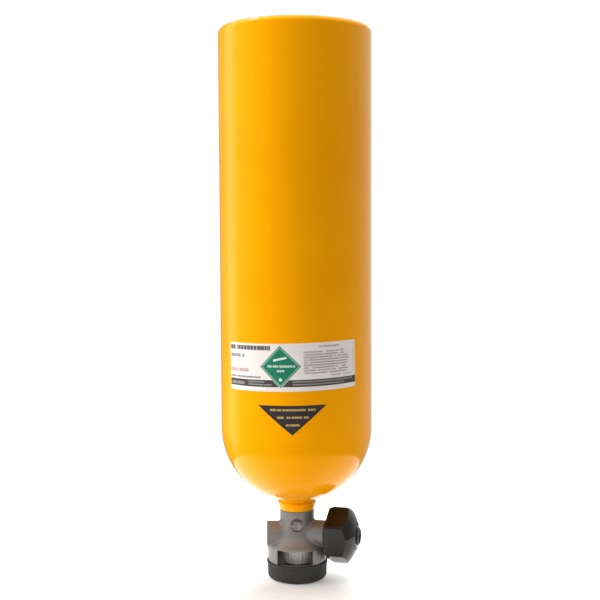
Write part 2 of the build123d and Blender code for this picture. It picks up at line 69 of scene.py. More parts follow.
# ---------------------------------------------------------------- node-tree helper
class Graph:
    """Short calls for building a material's or the world's node tree."""

    def __init__(self, owner):
        owner.use_nodes = True
        self.tree = owner.node_tree
        self.tree.nodes.clear()

    def add(self, kind, inputs=(), **settings):
        node = self.tree.nodes.new("ShaderNode" + kind)
        for key, value in settings.items():
            setattr(node, key, value)
        for key, value in dict(inputs).items():
            self.put(node.inputs[key], value)
        return node

    def put(self, socket, value):
        if isinstance(value, bpy.types.NodeSocket):
            self.tree.links.new(value, socket)
        else:
            socket.default_value = value

    def math(self, operation, *values, clamp=False):
        node = self.add("Math", operation=operation, use_clamp=clamp)
        for socket, value in zip(node.inputs, values):
            self.put(socket, value)
        return node.outputs[0]

    def length(self, a, b):
        """Root of the sum of two squares."""
        squares = self.math("ADD", self.math("MULTIPLY", a, a), self.math("MULTIPLY", b, b))
        return self.math("SQRT", squares)

    def step(self, value, low, high):
        """0 below low, 1 above high, smooth between."""
        node = self.add("MapRange", interpolation_type="SMOOTHSTEP",
                        inputs={0: value, 1: low, 2: high, 3: 0.0, 4: 1.0})
        return node.outputs[0]

    def between(self, value, low, high, soft):
        """1 from low to high, 0 outside, with soft edges."""
        return self.math("MULTIPLY", self.step(value, low - soft, low + soft),
                         self.step(value, high + soft, high - soft))

    def mix(self, factor, a, b):
        node = self.add("Mix", data_type="RGBA")
        for index, value in ((0, factor), (6, a), (7, b)):
            self.put(node.inputs[index], value)
        return node.outputs[2]

    def noise(self, vector, scale, detail=2.0, roughness=0.5, distortion=0.0):
        node = self.add("TexNoise", inputs={"Vector": vector, "Scale": scale, "Detail": detail,
                                            "Roughness": roughness, "Distortion": distortion})
        return node.outputs[0]

    def stretched(self, vector, x, y, z):
        return self.add("Mapping", inputs={"Vector": vector, "Scale": (x, y, z)}).outputs[0]

    def coords(self):
        return self.add("TexCoord").outputs["Object"]

    def xyz(self, vector):
        return self.add("SeparateXYZ", inputs={0: vector}).outputs

    def bump(self, height, distance_mm, strength=1.0, after=None):
        node = self.add("Bump", inputs={"Height": height, "Distance": distance_mm * MM,
                                        "Strength": strength})
        if after is not None:
            self.put(node.inputs["Normal"], after)
        return node.outputs[0]

    def surface(self, **values):
        """One Principled shader to the output. Keys are its socket names with _ for spaces."""
        shader = self.add("BsdfPrincipled")
        for key, value in values.items():
            self.put(shader.inputs[key.replace("_", " ")], value)
        out = self.add("OutputMaterial")
        self.tree.links.new(shader.outputs[0], out.inputs[0])
        return shader


def material(name):
    made = bpy.data.materials.new(name)
    return made, Graph(made)


def rgb(r, g, b):
    return (r, g, b, 1.0)


# ---------------------------------------------------------------- materials
RIM_WEAR = (5.0, 2.2)        # where wear at the flat end starts and is full, below the top


def yellow_enamel():
    """Gloss enamel: orange peel, uneven coverage, sparse dust nibs, rub marks and a worn rim."""
    made, g = material("yellow_enamel")
    at = g.coords()
    cover = g.noise(at, 9.0, 3.0, 0.55)
    deep = g.mix(g.step(cover, 0.35, 0.7), rgb(0.90, 0.350, 0.0006), rgb(0.93, 0.378, 0.001))
    rub = g.noise(g.stretched(at, 60, 60, 900), 1.0, 4.0, 0.6)
    fine = g.noise(at, 55.0, 5.0, 0.65)
    scuffs = g.math("MULTIPLY", g.step(rub, 0.66, 0.74), g.step(fine, 0.52, 0.62))
    colour = g.mix(g.math("MULTIPLY", scuffs, 0.35), deep, rgb(0.93, 0.52, 0.05))
    z = g.xyz(at)[2]
    rim = g.math("MULTIPLY", g.step(z, (TOTAL_H - RIM_WEAR[0]) * MM, (TOTAL_H - RIM_WEAR[1]) * MM),
                 g.step(fine, 0.55, 0.62))
    colour = g.mix(g.math("MULTIPLY", rim, 0.55), colour, rgb(0.62, 0.56, 0.42))
    peel = g.noise(at, 420.0, 2.0, 0.5)
    nibs = g.step(g.noise(at, 260.0, 0.0), 0.80, 0.86)
    normal = g.bump(peel, 0.05, 0.22)
    normal = g.bump(nibs, 0.12, 0.5, normal)
    rough = g.math("ADD", 0.11, g.math("MULTIPLY", scuffs, 0.20))
    g.surface(Base_Color=colour, Roughness=rough, Normal=normal, Specular_IOR_Level=0.5,
              Specular_Tint=rgb(1.0, 0.5, 0.02))
    return made


def grey_anodised():
    """Hard-anodised, bead-blasted aluminium, a little paler where edges are rubbed."""
    made, g = material("grey_anodised")
    at = g.coords()
    blast = g.noise(at, 2600.0, 2.0, 0.6)
    cloud = g.noise(at, 45.0, 4.0, 0.6)
    edge = g.step(g.add("NewGeometry").outputs["Pointiness"], 0.53, 0.62)
    worn = g.math("MULTIPLY", edge, g.step(g.noise(at, 300.0, 4.0, 0.7), 0.42, 0.62))
    colour = g.mix(cloud, rgb(0.172, 0.166, 0.158), rgb(0.220, 0.213, 0.204))
    colour = g.mix(g.math("MULTIPLY", worn, 0.5), colour, rgb(0.50, 0.48, 0.45))
    rough = g.math("ADD", 0.36, g.math("MULTIPLY", cloud, 0.14))
    normal = g.bump(blast, 0.03, 0.35)
    g.surface(Base_Color=colour, Metallic=0.45, Roughness=rough, Normal=normal,
              Specular_IOR_Level=0.5)
    return made


def gloss_plastic(name, base, rough, relief=0.008):
    """Moulded gloss plastic with a slightly uneven skin and handling haze."""
    made, g = material(name)
    at = g.coords()
    haze = g.noise(at, 70.0, 5.0, 0.65)
    colour = g.mix(g.step(haze, 0.4, 0.7), rgb(*base), rgb(*(c * 1.5 + 0.002 for c in base)))
    skin = g.noise(at, 240.0, 3.0, 0.5)
    scratch = g.noise(g.stretched(at, 900, 160, 420), 1.0, 2.0, 0.5, 0.6)
    scratch = g.step(scratch, 0.70, 0.78)
    roughness = g.math("ADD", rough, g.math("MULTIPLY", g.step(haze, 0.45, 0.75), 0.05))
    roughness = g.math("ADD", roughness, g.math("MULTIPLY", scratch, 0.08))
    g.surface(Base_Color=colour, Roughness=roughness, Normal=g.bump(skin, relief, 0.25),
              Specular_IOR_Level=0.3)
    return made


def rubber(name, base, grain=900.0, rough=0.62):
    """Moulded rubber with a fine grain, faint bloom and dust in it."""
    made, g = material(name)
    at = g.coords()
    bloom = g.noise(at, 38.0, 5.0, 0.6)
    dust = g.step(g.noise(at, 700.0, 3.0, 0.7), 0.60, 0.72)
    colour = g.mix(bloom, rgb(*base), rgb(*(c * 1.6 + 0.004 for c in base)))
    colour = g.mix(g.math("MULTIPLY", dust, 0.22), colour, rgb(0.16, 0.155, 0.145))
    pebble = g.noise(at, grain, 3.0, 0.6)
    roughness = g.math("ADD", rough, g.math("MULTIPLY", bloom, 0.2))
    g.surface(Base_Color=colour, Roughness=roughness, Normal=g.bump(pebble, 0.06, 0.5),
              Specular_IOR_Level=0.4)
    return made


def turned_metal(name, dark, light, rough, along="Z", lines=2200.0):
    """Machined metal: fine turning or grinding lines across one axis, with small tarnish clouds."""
    made, g = material(name)
    at = g.coords()
    squeeze = {"X": (lines, 30, 30), "Y": (30, lines, 30), "Z": (30, 30, lines)}[along]
    cut = g.noise(g.stretched(at, *squeeze), 1.0, 3.0, 0.6)
    tarnish = g.noise(at, 160.0, 4.0, 0.65)
    colour = g.mix(g.step(tarnish, 0.35, 0.7), rgb(*dark), rgb(*light))
    roughness = g.math("ADD", rough, g.math("MULTIPLY", cut, 0.16))
    g.surface(Base_Color=colour, Metallic=1.0, Roughness=roughness, Normal=g.bump(cut, 0.02, 0.4))
    return made


def moulded(name, base, rough=0.45):
    """Plain satin plastic with a fine skin and slight shade variation."""
    made, g = material(name)
    at = g.coords()
    shade = g.noise(at, 120.0, 4.0, 0.6)
    colour = g.mix(shade, rgb(*(c * 0.9 for c in base)), rgb(*base))
    roughness = g.math("ADD", rough, g.math("MULTIPLY", shade, 0.12))
    g.surface(Base_Color=colour, Roughness=roughness,
              Normal=g.bump(g.noise(at, 1500.0), 0.015, 0.3))
    return made


def clear_lens():
    """Moulded clear plastic, a little milky, with smears."""
    made, g = material("clear_lens")
    at = g.coords()
    smear = g.noise(at, 180.0, 4.0, 0.6)
    roughness = g.math("MULTIPLY", g.step(smear, 0.5, 0.8), 0.06)
    shader = g.surface(Base_Color=rgb(0.95, 0.95, 0.94), Roughness=roughness,
                       Normal=g.bump(g.noise(at, 90.0), 0.02, 0.2), IOR=1.49)
    shader.inputs["Transmission Weight"].default_value = 0.35
    return made


class Print:
    """Flat artwork on the vessel's wall, in millimetres round and up from a label's centre."""

    SOFT = 0.12

    def __init__(self, g, centre, tilt_deg):
        self.g = g
        x, y, z = g.xyz(g.coords())
        turn = g.math("ARCTAN2", x, g.math("MULTIPLY", y, -1.0))
        u = g.math("SUBTRACT", g.math("MULTIPLY", turn, VESSEL_R), centre[0])
        v = g.math("SUBTRACT", g.math("MULTIPLY", z, 1 / MM), centre[1])
        c, s = math.cos(math.radians(tilt_deg)), math.sin(math.radians(tilt_deg))
        self.u = g.math("ADD", g.math("MULTIPLY", u, c), g.math("MULTIPLY", v, s))
        self.v = g.math("SUBTRACT", g.math("MULTIPLY", v, c), g.math("MULTIPLY", u, s))

    def box(self, left, right, low, high, u=None, v=None):
        g = self.g
        return g.math("MULTIPLY", g.between(self.u if u is None else u, left, right, self.SOFT),
                      g.between(self.v if v is None else v, low, high, self.SOFT))

    def words(self, seed, letters, gap):
        """Stripes that stand for words: uneven blocks with gaps, and a finer beat within each."""
        g = self.g
        place = g.add("CombineXYZ", inputs={0: self.u, 1: seed}).outputs[0]
        word = g.noise(g.stretched(place, 0.22, 1, 1), 1.0, 1.0)
        beat = g.math("SINE", g.math("MULTIPLY", self.u, 2 * math.pi / letters))
        wander = g.noise(g.stretched(place, 1.1, 3, 1), 1.0, 0.0)
        stroke = g.step(g.math("ADD", beat, g.math("MULTIPLY", wander, 1.6)), -0.5, 0.4)
        ink = g.math("ADD", 0.35, g.math("MULTIPLY", stroke, 0.65))
        return g.math("MULTIPLY", g.step(word, gap - 0.03, gap + 0.03), ink)

    def line(self, left, right, middle, height, seed, letters, gap, u=None, v=None):
        """One greeked line, by its ends, its middle height and its depth."""
        low, high = middle - height / 2, middle + height / 2
        return self.g.math("MULTIPLY", self.box(left, right, low, high, u, v),
                           self.words(seed, letters, gap))

    def finish(self, colour, grain, at, rough):
        """Satin label stock under the artwork."""
        g = self.g
        roughness = g.math("ADD", rough, g.math("MULTIPLY", grain, 0.12))
        g.surface(Base_Color=colour, Roughness=roughness,
                  Normal=g.bump(g.noise(at, 500.0, 2.0), 0.015, 0.25), Specular_IOR_Level=0.25)


# label places and sizes, in millimetres round and up the wall
INK = rgb(0.024, 0.022, 0.025)
INFO_CENTRE = (-6.0, 248.6)
INFO_TILT = 1.3
INFO_SIZE = (152.4, 50.4)
CAUTION_CENTRE = (-4.6, 208.6)
CAUTION_TILT = 0.7
CAUTION_SIZE = (74.2, 31.2)
DIAMOND = (-10.7, 1.0)       # its centre on the information label
DIAMOND_HALF = 22.2
BAR_SLANT = math.radians(11.5)
SMALL_PRINT = (14.0, 70.0, -7.6, 17.15)      # left, right, low, high
SMALL_PRINT_PITCH = 2.75


def information_print():
    """White label with greeked lines, a plain green diamond and a dark band. No lettering."""
    made, g = material("information_print")
    p = Print(g, INFO_CENTRE, INFO_TILT)
    at = g.coords()
    grain = g.noise(at, 60.0, 4.0, 0.6)
    colour = g.mix(grain, rgb(0.74, 0.68, 0.655), rgb(0.82, 0.77, 0.745))
    # heading, second line, red line and small line at the left, then two small ones at the right
    for left, right, middle, height, seed, letters, ink, depth in (
            (-75.5, -21.0, 20.6, 4.6, 3.1, 4.4, INK, 0.9),
            (-75.5, -53.0, 12.0, 3.6, 7.7, 3.4, INK, 0.66),
            (-75.5, -47.8, -3.4, 3.8, 11.3, 3.8, rgb(0.36, 0.07, 0.08), 0.62),
            (-75.5, -32.5, -10.4, 2.0, 15.9, 2.2, INK, 0.7),
            (31.0, 54.0, 21.2, 2.0, 19.1, 2.4, INK, 0.5),
            (44.0, 71.0, -9.6, 1.2, 23.0, 1.4, INK, 0.5)):
        mask = p.line(left, right, middle, height, seed, letters, 0.36)
        colour = g.mix(g.math("MULTIPLY", mask, depth), colour, ink)
    # small print at the right: nine lines, each with its own words
    rows = g.math("DIVIDE", g.math("SUBTRACT", p.v, SMALL_PRINT[2]), SMALL_PRINT_PITCH)
    row = g.math("FLOOR", rows)
    within = g.math("SUBTRACT", rows, row)
    place = g.add("CombineXYZ", inputs={0: g.math("MULTIPLY", p.u, 0.16),
                                        1: g.math("MULTIPLY", row, 7.31)}).outputs[0]
    text = g.math("MULTIPLY", g.between(within, 0.22, 0.72, 0.08),
                  g.step(g.noise(place, 1.0, 2.0), 0.36, 0.44))
    each_row = g.add("CombineXYZ", inputs={0: g.math("MULTIPLY", row, 3.7)}).outputs[0]
    short = g.noise(each_row, 1.0, 0.0)
    right_end = g.math("ADD", 56.0, g.math("MULTIPLY", short, 16.0))
    table = g.math("MULTIPLY", p.box(*SMALL_PRINT),
                   g.step(p.u, right_end, g.math("SUBTRACT", right_end, 0.6)))
    text = g.math("MULTIPLY", g.math("MULTIPLY", text, table), 0.62)
    colour = g.mix(text, colour, rgb(0.10, 0.105, 0.09))
    tint = g.math("MULTIPLY", p.box(14.0, 48.0, -2.2, 14.4), 0.22)
    colour = g.mix(tint, colour, rgb(0.40, 0.41, 0.34))
    colour = g.mix(g.math("MULTIPLY", p.box(73.3, 73.8, -6.5, 17.0), 0.6), colour, INK)
    # dark band with two rows of pale greeking
    band = g.math("MULTIPLY", p.box(-90, 90, -20.4, -13.0), 0.97)
    colour = g.mix(band, colour, rgb(0.040, 0.037, 0.038))
    for left, right, middle, height, seed, letters in (
            (-74.0, -54.0, -17.2, 2.8, 31.0, 3.0),
            (-48.6, -29.0, -15.2, 1.3, 33.0, 1.6), (-48.6, -20.5, -18.0, 1.3, 35.0, 1.6),
            (2.0, 71.0, -15.1, 1.3, 37.0, 1.8), (2.0, 60.0, -18.0, 1.3, 39.0, 1.8)):
        mask = p.line(left, right, middle, height, seed, letters, 0.34)
        colour = g.mix(g.math("MULTIPLY", mask, 0.42), colour, rgb(0.62, 0.60, 0.58))
    # green diamond with a white line inside its edge
    du = g.math("SUBTRACT", p.u, DIAMOND[0])
    dv = g.math("SUBTRACT", p.v, DIAMOND[1])
    reach = g.math("ADD", g.math("ABSOLUTE", du), g.math("ABSOLUTE", dv))
    half = DIAMOND_HALF
    green = g.mix(grain, rgb(0.010, 0.180, 0.105), rgb(0.016, 0.215, 0.130))
    colour = g.mix(g.step(reach, half + 0.9, half + 0.5), colour, rgb(0.72, 0.74, 0.72))
    colour = g.mix(g.step(reach, half + 0.1, half - 0.3), colour, green)
    inner_line = g.math("MULTIPLY", g.between(reach, half - 2.4, half - 1.7, 0.2), 0.8)
    colour = g.mix(inner_line, colour, rgb(0.72, 0.76, 0.72))
    # plain slanted bar, two greeked lines and a dot on it
    across, up = g.math("SUBTRACT", du, -0.2), g.math("SUBTRACT", dv, 8.0)
    c, s = math.cos(BAR_SLANT), math.sin(BAR_SLANT)
    bar_u = g.math("ADD", g.math("MULTIPLY", across, c), g.math("MULTIPLY", up, s))
    bar_v = g.math("SUBTRACT", g.math("MULTIPLY", up, c), g.math("MULTIPLY", across, s))
    paper = rgb(0.76, 0.78, 0.75)
    colour = g.mix(p.box(-7.2, 7.2, -1.05, 1.05, bar_u, bar_v), colour, paper)
    for left, right, middle, height, seed in (
            (-15.8, 16.0, 0.4, 2.3, 51.0), (-3.8, 4.2, -4.4, 2.0, 53.0)):
        mask = p.line(left, right, middle, height, seed, 2.7, 0.42, du, dv)
        colour = g.mix(g.math("MULTIPLY", mask, 0.72), colour, paper)
    dot = g.length(du, g.math("ADD", dv, 13.6))
    colour = g.mix(g.step(dot, 1.9, 1.5), colour, paper)
    p.finish(colour, grain, at, 0.30)
    return made


def caution_print():
    """Black label with three rows of yellow greeking."""
    made, g = material("caution_print")
    p = Print(g, CAUTION_CENTRE, CAUTION_TILT)
    at = g.coords()
    grain = g.noise(at, 80.0, 4.0, 0.6)
    colour = g.mix(grain, rgb(0.028, 0.024, 0.024), rgb(0.040, 0.035, 0.034))
    for left, right, middle, height, seed in (
            (-24.5, 25.0, -4.6, 2.2, 61.0), (-16.0, 17.5, -12.5, 2.2, 65.0),
            (-6.8, 8.0, -20.6, 2.2, 67.0)):
        mask = p.line(left, right, middle, height, seed, 2.9, 0.42)
        colour = g.mix(g.math("MULTIPLY", mask, 0.6), colour, rgb(0.80, 0.52, 0.16))
    p.finish(colour, grain, at, 0.28)
    return made


GRADUATION = 6.0             # degrees between the gauge's marks


def gauge_scale():
    """White dial and side scale with dark graduations, long ones at every fifth."""
    made, g = material("gauge_scale")
    at = g.coords()
    x, y, z = g.xyz(at)
    turn = g.math("ARCTAN2", x, g.math("MULTIPLY", y, -1.0))
    turn = g.math("DIVIDE", turn, math.radians(GRADUATION))
    far = g.math("ABSOLUTE", g.math("SUBTRACT", turn, g.math("ROUND", turn)))
    turn5 = g.math("DIVIDE", turn, 5.0)
    far5 = g.math("ABSOLUTE", g.math("SUBTRACT", turn5, g.math("ROUND", turn5)))
    radius = g.length(x, y)
    minor = g.math("MULTIPLY", g.step(far, 0.20, 0.10), g.step(z, 27.5 * MM, 28.0 * MM))
    major = g.math("MULTIPLY", g.step(far5, 0.07, 0.05), g.step(z, 24.5 * MM, 25.0 * MM))
    face = g.math("MULTIPLY", g.step(far5, 0.05, 0.04),
                  g.between(radius, 8.0 * MM, 10.6 * MM, 0.1 * MM))
    face = g.math("MULTIPLY", face, g.step(z, 21.4 * MM, 21.2 * MM))
    marks = g.math("MAXIMUM", g.math("MAXIMUM", minor, major), face)
    paper = g.mix(g.noise(at, 300.0, 3.0), rgb(0.74, 0.74, 0.71), rgb(0.82, 0.82, 0.79))
    colour = g.mix(g.math("MULTIPLY", marks, 0.92), paper, rgb(0.02, 0.02, 0.02))
    roughness = g.math("ADD", 0.4, g.math("MULTIPLY", g.noise(at, 900.0), 0.1))
    g.surface(Base_Color=colour, Roughness=roughness)
    return made


# ---------------------------------------------------------------- mesh helpers
def mesh_object(name, vertices, faces):
    mesh = bpy.data.meshes.new(name)
    mesh.from_pydata([tuple(v) for v in vertices], [], faces)
    bm = bmesh.new()
    bm.from_mesh(mesh)
    bmesh.ops.recalc_face_normals(bm, faces=bm.faces)
    bm.to_mesh(mesh)
    bm.free()
    made = bpy.data.objects.new(name, mesh)
    bpy.context.scene.collection.objects.link(made)
    return made


def shade(piece, degrees=30.0):
    """Smooth shading that keeps edges sharper than this angle."""
    piece.data.shade_smooth()
    piece.data.set_sharp_from_angle(angle=math.radians(degrees))


def softened(piece, width_mm, segments=3, degrees=32.0):
    """Rounds the piece's hard edges, then shades it smoothly."""
    bevel = piece.modifiers.new("edges", "BEVEL")
    bevel.width = width_mm * MM
    bevel.segments = segments
    bevel.limit_method = "ANGLE"
    bevel.angle_limit = math.radians(degrees)
    bevel.use_clamp_overlap = True
    bevel.harden_normals = True
    piece.data.shade_smooth()
    return piece


def finish_piece(piece, body, replaced, finish):
    piece.data.materials.clear()
    piece.data.materials.append(finish)
    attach(piece, body)
    if replaced:
        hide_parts(*replaced)
    return piece


def arc(centre, radius, start, end, count):
    """Points on an arc in a section, as (r, z), in millimetres."""
    return [(centre[0] + radius * math.cos(math.radians(start + (end - start) * i / count)),
             centre[1] + radius * math.sin(math.radians(start + (end - start) * i / count)))
            for i in range(count + 1)]


def upright(r, a, z):
    """Section point to space: about the cylinder's axis."""
    return Vector((r * math.sin(a), -r * math.cos(a), z)) * MM


def bonnet_point(x, y, s):
    """Point at station s along the bonnet axis; x is sideways, y is up."""
    return (BONNET_OUT * s + BONNET_SIDE * x + Vector((0, 0, BONNET_Z + y))) * MM


def about_bonnet(r, a, s):
    """Section point to space: about the bonnet axis."""
    return bonnet_point(r * math.sin(a), r * math.cos(a), s)


def lathe(name, section, count=96, place=upright):
    """Turns a closed section, given as (r, z) in millimetres; r 0 becomes a pole."""
    vertices, rows = [], []
    for r, z in section:
        if r < 1e-6:
            rows.append([len(vertices)])
            vertices.append(place(0, 0, z))
        else:
            rows.append(list(range(len(vertices), len(vertices) + count)))
            vertices += [place(r, 2 * math.pi * i / count, z) for i in range(count)]
    faces = []
    closed = len(rows[0]) > 1
    pairs = list(zip(rows, rows[1:] + rows[:1])) if closed else list(zip(rows, rows[1:]))
    for low, high in pairs:
        for i in range(count):
            j = (i + 1) % count
            if len(low) == 1 and len(high) == 1:
                continue
            if len(low) == 1:
                faces.append((low[0], high[j], high[i]))
            elif len(high) == 1:
                faces.append((low[i], low[j], high[0]))
            else:
                faces.append((low[i], low[j], high[j], high[i]))
    return mesh_object(name, vertices, faces)


# ---------------------------------------------------------------- materials used more than once
enamel = yellow_enamel()
anodised = grey_anodised()
wheel_black = gloss_plastic("wheel_plastic", (0.0035, 0.0030, 0.0028), 0.05)
cap_black = gloss_plastic("cap_plastic", (0.004, 0.004, 0.004), 0.28)
bumper_black = rubber("bumper_rubber", (0.017, 0.0167, 0.017))
seal_black = rubber("seal_rubber", (0.012, 0.012, 0.012), 1500.0, 0.5)
steel = turned_metal("plated_steel", (0.46, 0.45, 0.43), (0.60, 0.59, 0.58), 0.24, "Y")
dull_steel = turned_metal("dull_steel", (0.15, 0.14, 0.135), (0.25, 0.24, 0.235), 0.22, "Y")
nickel = turned_metal("nickel", (0.60, 0.58, 0.54), (0.72, 0.70, 0.66), 0.16, "Y")
brass = turned_metal("brass", (0.52, 0.36, 0.14), (0.68, 0.50, 0.22), 0.22, "Z")
copper = turned_metal("copper", (0.50, 0.24, 0.14), (0.70, 0.38, 0.25), 0.20, "Z")
nylon = moulded("white_nylon", (0.80, 0.78, 0.72))
pointer_paint = moulded("pointer_black", (0.015, 0.015, 0.015), 0.35)
glass = clear_lens()
scale_print = gauge_scale()

# ---------------------------------------------------------------- vessel
WALL = 9.4
INNER_R = VESSEL_R - WALL
BASE_EDGE_R = 6.5
BASE_T = 13.0                # closed end
BASE_INNER_R = 20.0          # rounding inside the closed end
DOME_Z = 172.0
INNER_DOME_Z = 178.0
NECK_FACE_Z = 78.0
NECK_R = 21.2
THREAD_R = 11.1


def sphere_degrees(radius, r):
    """Degrees of a shoulder sphere's point at r, as arc() counts them, on its lower side."""
    return -math.degrees(math.acos(r / radius))


def vessel_section():
    """Section of the outside: bulging neck collar, groove, shoulder, wall and flat end."""
    out = [(THREAD_R, NECK_FACE_Z), (18.9, NECK_FACE_Z), (19.4, 78.2), (19.75, 78.8), (20.1, 80.0),
           (20.5, 81.6), (20.85, 83.4), (NECK_R - 0.1, 85.0)]
    out += arc((20.0, 86.0), 1.2, 0, 66, 6)
    out += [(19.85, 87.6), (19.5, 88.2), (19.4, 88.8), (19.45, 89.4), (19.7, 89.95), (20.2, 90.4),
            (20.9, 90.68)]
    out += arc((0, DOME_Z), VESSEL_R, sphere_degrees(VESSEL_R, 21.6), 0, 56)
    out += [(VESSEL_R, DOME_Z + (TOTAL_H - BASE_EDGE_R - DOME_Z) * i / 12) for i in range(1, 12)]
    out += arc((VESSEL_R - BASE_EDGE_R, TOTAL_H - BASE_EDGE_R), BASE_EDGE_R, 0, 90, 14)
    out += [(r, TOTAL_H) for r in (70.0, 50.0, 25.0)] + [(0, TOTAL_H)]
    return out


def vessel_hollow():
    """Section of the inside, from the closed end down to the neck's thread."""
    top = TOTAL_H - BASE_T
    corner_r = INNER_R - BASE_INNER_R
    inner = [(0, top), (30, top), (corner_r, top)]
    inner += arc((corner_r, top - BASE_INNER_R), BASE_INNER_R, 84, 0, 10)
    inner += arc((0, INNER_DOME_Z), INNER_R, 0, sphere_degrees(INNER_R, THREAD_R), 30)
    return inner


# the skin outside and the hollow inside are one closed surface that meets at the neck's thread
vessel = lathe("cylinder_paint", vessel_section()[::-1] + vessel_hollow()[::-1], 192)
shade(vessel, 40.0)
finish_piece(vessel, "cylinder", ["cylinder_shell"], enamel)


# ---------------------------------------------------------------- labels
FILM_DEPTH = (-0.03, 0.16)   # a film's two faces, out from the wall


def film(name, size, centre, tilt_deg, low_edge, high_edge, columns, rows=10):
    """A thin film wrapped on the wall. low_edge and high_edge give its edges in v for each u."""
    c, s = math.cos(math.radians(tilt_deg)), math.sin(math.radians(tilt_deg))
    half = size[0] / 2
    vertices, faces = [], []
    per_side = (columns + 1) * (rows + 1)
    for depth in FILM_DEPTH:
        for i in range(columns + 1):
            u = -half + size[0] * i / columns
            low, high = low_edge(u), high_edge(u)
            for j in range(rows + 1):
                v = low + (high - low) * j / rows
                a = (centre[0] + u * c - v * s) / VESSEL_R
                vertices.append(upright(VESSEL_R + depth, a, centre[1] + u * s + v * c))

    def at(side, i, j):
        return side * per_side + i * (rows + 1) + j

    for i in range(columns):
        for j in range(rows):
            for side in (0, 1):
                quad = (at(side, i, j), at(side, i + 1, j),
                        at(side, i + 1, j + 1), at(side, i, j + 1))
                faces.append(quad if side else quad[::-1])
        for j in (0, rows):
            faces.append((at(0, i, j), at(0, i + 1, j), at(1, i + 1, j), at(1, i, j)))
    for j in range(rows):
        for i in (0, columns):
            faces.append((at(0, i, j), at(0, i, j + 1), at(1, i, j + 1), at(1, i, j)))
    return mesh_object(name, vertices, faces)


def rounded_edge(size, corner):
    """Half height of a rounded rectangle at u."""
    def half_height(u):
        into = abs(u) - (size[0] / 2 - corner)
        if into <= 0:
            return size[1] / 2
        return size[1] / 2 - corner + math.sqrt(max(corner ** 2 - into ** 2, 0.0))
    return half_height


info_edge = rounded_edge(INFO_SIZE, 1.6)
info = film("information_film", INFO_SIZE, INFO_CENTRE, INFO_TILT,
            lambda u: -info_edge(u), info_edge, 152, 12)
shade(info, 40.0)
finish_piece(info, "cylinder", ["information_label"], information_print())

caution_half = CAUTION_SIZE[0] / 2
caution = film("caution_film", CAUTION_SIZE, CAUTION_CENTRE, CAUTION_TILT,
               lambda u: -max(CAUTION_SIZE[1] * (1 - abs(u) / caution_half), 0.15),
               lambda u: 0.0, 96, 8)
shade(caution, 40.0)
finish_piece(caution, "cylinder", ["caution_label"], caution_print())


# ---------------------------------------------------------------- valve body
COLLAR_R, FLARE_Z, DRUM_TOP_Z, DRUM_R, BOSS_R = 19.3, 60.0, 38.0, 33.0, 14.9
FLARE = ((38, 43, 48, 54, 60), (33.0, 26.6, 22.6, 20.1, 19.3))    # its heights and radii
WINDOW = (-2.2, 22, 37.2)    # middle, half width and top of the gauge window's surround, kept crisp
VOXEL = 0.5
SEAM_ROUNDS = 60
FAR = 99.0                   # stands for a distance that never counts


def remeshed(node, name, voxel_mm):
    """A copy of a CAD node as an even mesh, whose edges can be worked."""
    mesh = nodes[node].data.copy()
    bm = bmesh.new()
    bm.from_mesh(mesh)
    bmesh.ops.remove_doubles(bm, verts=bm.verts, dist=1e-6)
    bm.to_mesh(mesh)
    bm.free()
    made = bpy.data.objects.new(name, mesh)
    bpy.context.scene.collection.objects.link(made)
    mod = made.modifiers.new("remesh", "REMESH")
    mod.mode = "VOXEL"
    mod.voxel_size = voxel_mm * MM
    mod.use_smooth_shade = True
    worked = made.evaluated_get(bpy.context.evaluated_depsgraph_get())
    even = bpy.data.meshes.new_from_object(worked)
    made.modifiers.clear()
    made.data = even
    return made


def relax(piece, weights, rounds):
    """Moves each point towards its neighbours' average, by its weight, that many times."""
    mesh = piece.data
    count = len(mesh.vertices)
    co = np.empty(count * 3)
    mesh.vertices.foreach_get("co", co)
    co = co.reshape(-1, 3)
    ends = np.empty(len(mesh.edges) * 2, int)
    mesh.edges.foreach_get("vertices", ends)
    a, b = ends[0::2], ends[1::2]
    degree = np.bincount(np.concatenate((a, b)), minlength=count).astype(float)
    w = weights(co / MM)[:, None]
    for _ in range(rounds):
        total = np.stack([np.bincount(a, co[b, k], count) + np.bincount(b, co[a, k], count)
                          for k in range(3)], 1)
        co += w * (total / degree[:, None] - co) * 0.5
    mesh.vertices.foreach_set("co", co.ravel())
    mesh.update()


def seam_weight(p):
    """1 along the seams of bosses and body and round the drum's top, 0 a few millimetres off."""
    x, y, z = p.T
    radial = np.hypot(x, y)
    flare = np.interp(z, *FLARE)
    skin = np.where(z > FLARE_Z, COLLAR_R, np.where(z < DRUM_TOP_Z, DRUM_R, flare))
    to_skin = np.abs(radial - skin)
    best = np.full(len(p), FAR)
    for axis, height in ((Vector((-1, 0, 0)), OUTLET_Z), (BONNET_OUT, BONNET_Z)):
        along = x * axis.x + y * axis.y
        across = np.hypot(x * axis.y - y * axis.x, z - height)
        to_boss = np.where(along > 5, np.abs(across - BOSS_R), FAR)
        best = np.minimum(best, np.hypot(to_boss, to_skin))
    by_window = (y < 0) & (np.abs(x - WINDOW[0]) < WINDOW[1]) & (z < WINDOW[2])
    rim = np.where(by_window, FAR, np.hypot(radial - DRUM_R, z - DRUM_TOP_Z))
    best = np.minimum(best, rim)
    return np.clip(1 - (best - 1.0) / 4.0, 0, 1) ** 2


body = remeshed("valve_body", "valve_body_forged", VOXEL)
relax(body, lambda p: np.ones(len(p)), 2)
relax(body, seam_weight, SEAM_ROUNDS)
shade(body, 50.0)
finish_piece(body, "cylinder", ["valve_body"], anodised)

